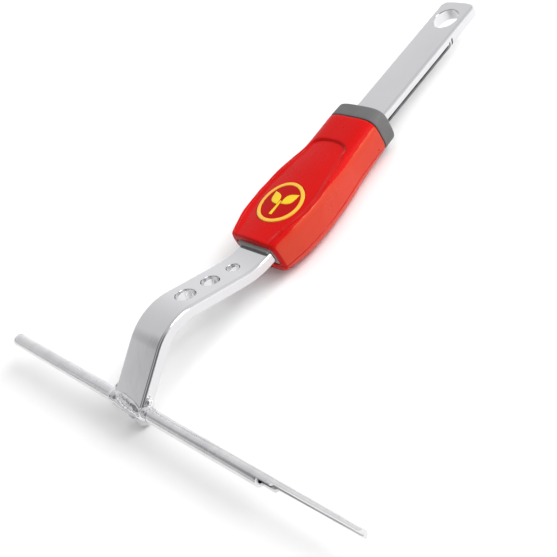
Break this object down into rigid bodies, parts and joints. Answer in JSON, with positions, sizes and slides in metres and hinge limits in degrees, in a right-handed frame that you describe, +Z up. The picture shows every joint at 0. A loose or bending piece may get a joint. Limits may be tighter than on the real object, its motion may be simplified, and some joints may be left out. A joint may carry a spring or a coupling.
{
  "type": "weeding tool head",
  "caption": "Plug-in weeding tool head: flat tang and S-bent neck with a two-shell grip sleeve, ending in a cross tube with a gouge tip.",
  "frame": {"origin": "centre of the base of the bounding box, with the tool lying on the grip's belly and the foot rivet", "axes": "+X along the cross tube towards the gouge tip, +Y along the straight tang towards its plug end, +Z up, out of the face with the badge"},
  "size_m": [0.2232, 0.256, 0.0325],
  "materials": {
    "chrome_bar": "bright chrome plate over a ground flat bar",
    "chrome_tube": "bright chrome plate on drawn tube",
    "foot_steel": "plated steel, slightly duller than the bar",
    "weld_steel": "plated weld bead, uneven",
    "grey_plastic": "matt mid grey moulding",
    "red_plastic": "semi-gloss red moulding",
    "badge_red": "darker red inlay",
    "badge_yellow": "yellow inlay"
  },
  "bodies": {
    "root": {"neck_bar": "chrome_bar", "cross_tube": "chrome_tube", "tube_plug": "chrome_tube", "foot_saddle": "foot_steel", "foot_rivet": "foot_steel", "rivet_washer": "foot_steel", "weld_bead_left": "weld_steel", "weld_bead_right": "weld_steel", "weld_bead_front": "weld_steel", "core_sleeve": "grey_plastic", "collar": "grey_plastic", "grip_front": "red_plastic", "grip_rear": "red_plastic", "badge_plate": "badge_red", "badge_ring": "badge_yellow", "badge_leaf_left": "badge_yellow", "badge_leaf_right": "badge_yellow", "badge_stem": "badge_yellow"}
  },
  "joints": []
}
